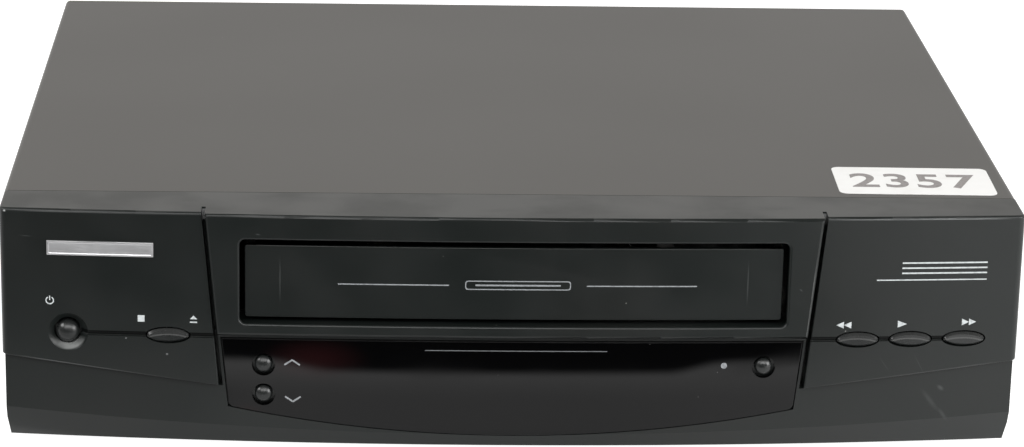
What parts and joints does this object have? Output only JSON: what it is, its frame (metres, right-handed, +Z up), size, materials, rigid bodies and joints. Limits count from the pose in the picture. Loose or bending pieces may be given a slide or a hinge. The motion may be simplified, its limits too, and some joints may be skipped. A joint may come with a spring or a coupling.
{
  "type": "video cassette recorder",
  "caption": "Front-loading video cassette recorder: moulded front with inward-swinging flap, display window and sprung keys, steel lid, feet, rear sockets and a working tape deck inside.",
  "frame": {"origin": "on the plane under the feet, below the middle of the whole recorder", "axes": "+X to the recorder's left-to-right as seen from its front, +Y from the front towards the rear sockets, +Z up"},
  "size_m": [0.364, 0.305, 0.09],
  "materials": {
    "front_plastic": "fine satin grain",
    "key_plastic": "smooth satin",
    "window_lens": "smoked, polished",
    "cover_paint": "fine textured paint",
    "plated_steel": "zinc plated",
    "screw_steel": "dark plated",
    "rear_plastic": "moulded grain",
    "foot_plastic": "matt",
    "socket_plastic": "moulded",
    "tuner_can": "tinned",
    "circuit_board": "phenolic laminate",
    "component_plastic": "moulded",
    "display_glass": "polished",
    "core_steel": "varnished laminations",
    "copper_winding": "enamelled wire",
    "heat_sink_metal": "bare",
    "drum_metal": "turned",
    "gear_plastic": "acetal",
    "roller_rubber": "ground",
    "spring_steel": "drawn wire"
  },
  "bodies": {
    "case": {"front_bezel": "front_plastic", "flap_spring": "spring_steel", "display_window": "window_lens", "top_cover": "cover_paint", "cover_screws": "screw_steel", "chassis_base": "plated_steel", "inner_screws": "screw_steel", "rear_panel": "rear_plastic", "scart_socket_upper": "socket_plastic", "scart_socket_lower": "socket_plastic", "aerial_module": "tuner_can", "mains_inlet": "socket_plastic", "front_circuit_board": "circuit_board", "tact_switches": "component_plastic", "display_module": "display_glass", "main_circuit_board": "circuit_board", "power_circuit_board": "circuit_board", "board_posts": "plated_steel", "circuit_parts": "component_plastic", "power_transformer": "core_steel", "transformer_winding": "copper_winding", "heat_sink": "heat_sink_metal", "deck_plate": "plated_steel", "drum_base": "drum_metal", "capstan_bearing": "plated_steel", "erase_head": "plated_steel", "audio_head": "plated_steel", "loading_motor": "plated_steel", "carriage_side_left": "plated_steel", "carriage_side_right": "plated_steel", "carriage_bridge": "plated_steel", "drive_belt": "roller_rubber", "foot_front_left": "foot_plastic", "foot_front_right": "foot_plastic", "foot_rear_left": "foot_plastic", "foot_rear_right": "foot_plastic"},
    "cassette_flap": {"cassette_flap": "front_plastic"},
    "standby_button": {"standby_button": "key_plastic"},
    "stop_eject_button": {"stop_eject_button": "key_plastic"},
    "rewind_button": {"rewind_button": "key_plastic"},
    "play_button": {"play_button": "key_plastic"},
    "fast_forward_button": {"fast_forward_button": "key_plastic"},
    "channel_up_button": {"channel_up_button": "key_plastic"},
    "channel_down_button": {"channel_down_button": "key_plastic"},
    "record_button": {"record_button": "key_plastic"},
    "carriage_slider": {"carriage_slider": "plated_steel"},
    "cassette_basket": {"cassette_basket": "plated_steel"},
    "carriage_drive_arm": {"carriage_drive_arm": "gear_plastic"},
    "loading_pinion": {"loading_pinion": "gear_plastic"},
    "drum_rotor": {"drum_rotor": "drum_metal"},
    "supply_reel": {"supply_reel": "gear_plastic"},
    "take_up_reel": {"take_up_reel": "gear_plastic"},
    "supply_guide": {"supply_guide": "drum_metal"},
    "take_up_guide": {"take_up_guide": "drum_metal"},
    "capstan_flywheel": {"capstan_flywheel": "plated_steel"},
    "clutch_pulley": {"clutch_pulley": "gear_plastic"},
    "idler_arm": {"idler_arm": "plated_steel"},
    "idler_gear": {"idler_gear": "gear_plastic"},
    "pinch_arm": {"pinch_arm": "plated_steel"},
    "pinch_roller": {"pinch_roller": "roller_rubber"}
  },
  "joints": [
    {"name": "flap_hinge", "type": "hinge", "parent": "case", "child": "cassette_flap", "pos_m": [0, -0.1459, 0.082], "axis": [1, 0, 0], "range_deg": [0, 88], "stiffness_Nm_per_rad": 0.002, "springref_deg": -28.65},
    {"name": "standby_press", "type": "slide", "parent": "case", "child": "standby_button", "axis": [0, 1, 0], "range_m": [0, 0.001], "stiffness_N_per_m": 600},
    {"name": "stop_eject_press", "type": "slide", "parent": "case", "child": "stop_eject_button", "axis": [0, 1, 0], "range_m": [0, 0.001], "stiffness_N_per_m": 600},
    {"name": "rewind_press", "type": "slide", "parent": "case", "child": "rewind_button", "axis": [0, 1, 0], "range_m": [0, 0.001], "stiffness_N_per_m": 600},
    {"name": "play_press", "type": "slide", "parent": "case", "child": "play_button", "axis": [0, 1, 0], "range_m": [0, 0.001], "stiffness_N_per_m": 600},
    {"name": "fast_forward_press", "type": "slide", "parent": "case", "child": "fast_forward_button", "axis": [0, 1, 0], "range_m": [0, 0.001], "stiffness_N_per_m": 600},
    {"name": "channel_up_press", "type": "slide", "parent": "case", "child": "channel_up_button", "axis": [0, 1, 0], "range_m": [0, 0.001], "stiffness_N_per_m": 600},
    {"name": "channel_down_press", "type": "slide", "parent": "case", "child": "channel_down_button", "axis": [0, 1, 0], "range_m": [0, 0.001], "stiffness_N_per_m": 600},
    {"name": "record_press", "type": "slide", "parent": "case", "child": "record_button", "axis": [0, 1, 0], "range_m": [0, 0.001], "stiffness_N_per_m": 600},
    {"name": "carriage_slide", "type": "slide", "parent": "case", "child": "carriage_slider", "axis": [0, 1, 0], "range_m": [0, 0.05]},
    {"name": "basket_drop", "type": "slide", "parent": "carriage_slider", "child": "cassette_basket", "axis": [0, 0, -1], "range_m": [0, 0.022]},
    {"name": "drive_arm_swing", "type": "hinge", "parent": "case", "child": "carriage_drive_arm", "pos_m": [0.104, -0.0255, 0.034], "axis": [1, 0, 0], "range_deg": [-64.1, 0]},
    {"name": "pinion_turn", "type": "hinge", "parent": "case", "child": "loading_pinion", "pos_m": [0.11, -0.0025, 0.034], "axis": [1, 0, 0], "range_deg": [0, 231]},
    {"name": "drum_spin", "type": "hinge", "parent": "case", "child": "drum_rotor", "pos_m": [0, 0.0775, 0.0215], "axis": [0, 0.104, 0.9946], "continuous": true},
    {"name": "supply_reel_spin", "type": "hinge", "parent": "case", "child": "supply_reel", "pos_m": [-0.046, -0.0225, 0.024], "axis": [0, 0, 1], "continuous": true},
    {"name": "take_up_reel_spin", "type": "hinge", "parent": "case", "child": "take_up_reel", "pos_m": [0.046, -0.0225, 0.024], "axis": [0, 0, 1], "continuous": true},
    {"name": "take_up_guide_slide", "type": "slide", "parent": "case", "child": "take_up_guide", "axis": [0.1611, 0.9869, 0], "range_m": [0, 0.0496]},
    {"name": "supply_guide_slide", "type": "slide", "parent": "case", "child": "supply_guide", "axis": [-0.1611, 0.9869, 0], "range_m": [0, 0.0496]},
    {"name": "capstan_spin", "type": "hinge", "parent": "case", "child": "capstan_flywheel", "pos_m": [0.062, 0.0305, 0.02], "axis": [0, 0, 1], "continuous": true},
    {"name": "clutch_spin", "type": "hinge", "parent": "case", "child": "clutch_pulley", "pos_m": [0, 0.0075, 0.02], "axis": [0, 0, 1], "continuous": true},
    {"name": "idler_swing", "type": "hinge", "parent": "case", "child": "idler_arm", "pos_m": [0, 0.0075, 0.025], "axis": [0, 0, 1], "range_deg": [-34, 34]},
    {"name": "idler_gear_spin", "type": "hinge", "parent": "idler_arm", "child": "idler_gear", "pos_m": [0, -0.0168, 0.023], "axis": [0, 0, 1], "continuous": true},
    {"name": "pinch_arm_swing", "type": "hinge", "parent": "case", "child": "pinch_arm", "pos_m": [0.088, 0.0475, 0.04], "axis": [0, 0, 1], "range_deg": [0, 25]},
    {"name": "pinch_roller_spin", "type": "hinge", "parent": "pinch_arm", "child": "pinch_roller", "pos_m": [0.0624, 0.0483, 0.04], "axis": [0, 0, 1], "continuous": true}
  ],
  "couplings": [
    {"joint": "drive_arm_swing", "follows": "carriage_slide", "rad_per_m": -22.34},
    {"joint": "pinion_turn", "follows": "carriage_slide", "rad_per_m": 80.4},
    {"joint": "supply_guide_slide", "follows": "take_up_guide_slide", "ratio": 1},
    {"joint": "clutch_spin", "follows": "capstan_spin", "ratio": 0.7778},
    {"joint": "idler_gear_spin", "follows": "capstan_spin", "ratio": -0.3889}
  ]
}
